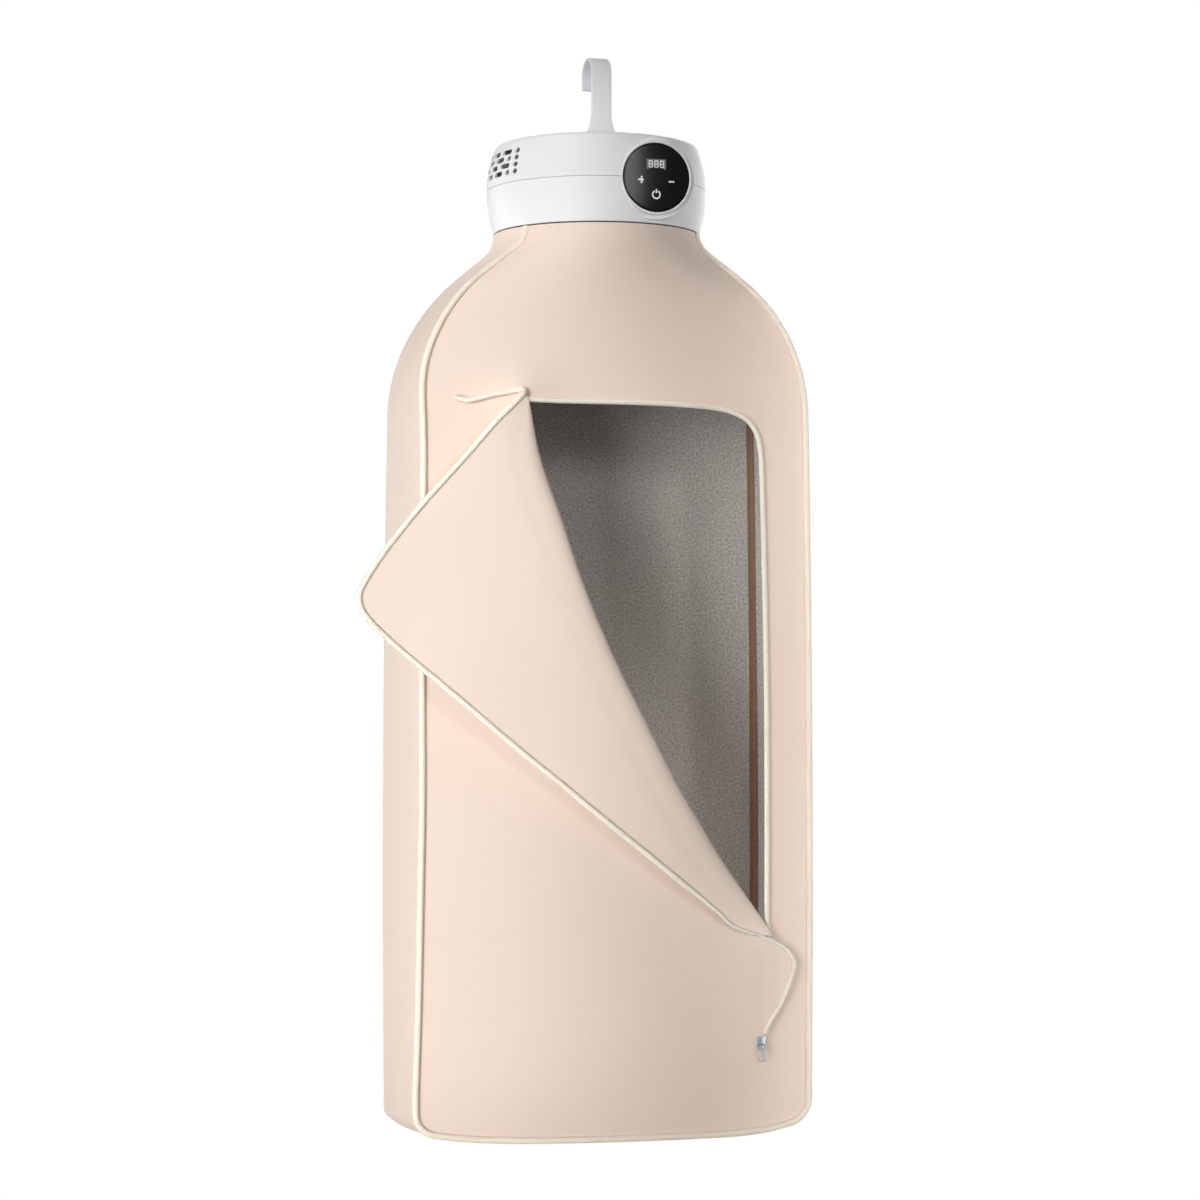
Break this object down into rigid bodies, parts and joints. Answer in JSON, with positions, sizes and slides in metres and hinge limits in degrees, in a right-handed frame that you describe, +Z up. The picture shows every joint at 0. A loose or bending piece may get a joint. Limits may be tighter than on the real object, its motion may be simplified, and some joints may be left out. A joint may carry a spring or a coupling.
{
  "type": "hanging clothes dryer",
  "caption": "Hanging clothes dryer: a round blower head with a strap hook and touch panel above a tall cloth bag whose zipped front flap opens to take garments.",
  "frame": {"origin": "axis of the rail that the hook hangs on, at the middle of the strap's width", "axes": "+X to the viewer's right, -Y towards the front of the bag, +Z up"},
  "size_m": [0.5035, 0.2461, 1.1777],
  "materials": {
    "white_plastic": "satin",
    "black_glass": "gloss",
    "circuit_board": "satin",
    "components": "satin",
    "grey_plastic": "satin",
    "heater": "satin",
    "steel": "satin",
    "gasket": "matte",
    "bag_cloth": "matte",
    "piping": "matte",
    "zip_cord": "matte",
    "binding": "matte",
    "zinc": "satin"
  },
  "bodies": {
    "dryer": {"hook": "white_plastic", "lower_shell": "white_plastic", "upper_shell": "white_plastic", "control_bezel": "white_plastic", "outlet_grille": "white_plastic", "cord_gland": "white_plastic", "control_glass": "black_glass", "control_board": "circuit_board", "power_board": "circuit_board", "display_module": "components", "touch_pads": "components", "power_components": "components", "thermal_cutout": "components", "intake_screen": "grey_plastic", "fan_shroud": "grey_plastic", "heater_duct": "grey_plastic", "heater_core": "heater", "housing_screws": "steel", "hook_screws": "steel", "motor_screws": "steel", "grille_screws": "steel", "board_screws": "steel", "motor_can": "steel", "motor_bearings": "steel", "motor_bracket": "steel", "neck_gasket": "gasket", "front_panel": "bag_cloth", "back_panel": "bag_cloth", "right_gusset": "bag_cloth", "left_gusset": "bag_cloth", "bottom_gusset": "bag_cloth", "door_fold": "bag_cloth", "door_tongue": "bag_cloth", "neck_collar": "bag_cloth", "front_piping": "piping", "door_cord": "zip_cord", "zip_lead_cord": "zip_cord", "tail_cord": "zip_cord", "seam_bindings": "binding", "zip_stops": "zinc"},
    "fan": {"impeller": "grey_plastic", "motor_shaft": "steel", "motor_rotor": "steel"},
    "rail": {"garment_rail": "steel"},
    "flap": {"flap_panel": "bag_cloth", "flap_cord": "zip_cord"},
    "slider": {"zip_slider": "zinc"},
    "pull": {"zip_pull": "zinc"}
  },
  "joints": [
    {"name": "fan_spin", "type": "hinge", "parent": "dryer", "child": "fan", "pos_m": [0, 0, -0.12], "axis": [0, 0, 1], "continuous": true},
    {"name": "rail_swing", "type": "hinge", "parent": "dryer", "child": "rail", "pos_m": [0, 0, -0.186], "axis": [0, 1, 0], "range_deg": [-75, 75]},
    {"name": "flap_fold", "type": "hinge", "parent": "dryer", "child": "flap", "pos_m": [-0.1277, -0.0935, -0.364], "axis": [-0.433, 0, 0.9014], "range_deg": [0, 175], "deforming": ["door_fold", "tail_cord", "door_tongue"]},
    {"name": "zip_slide", "type": "slide", "parent": "dryer", "child": "slider", "axis": [0, 0, 1], "range_m": [0, 0.6]},
    {"name": "pull_swing", "type": "hinge", "parent": "slider", "child": "pull", "pos_m": [0.1595, -0.0935, -1.0604], "axis": [-1, 0, 0], "range_deg": [0, 120]}
  ]
}
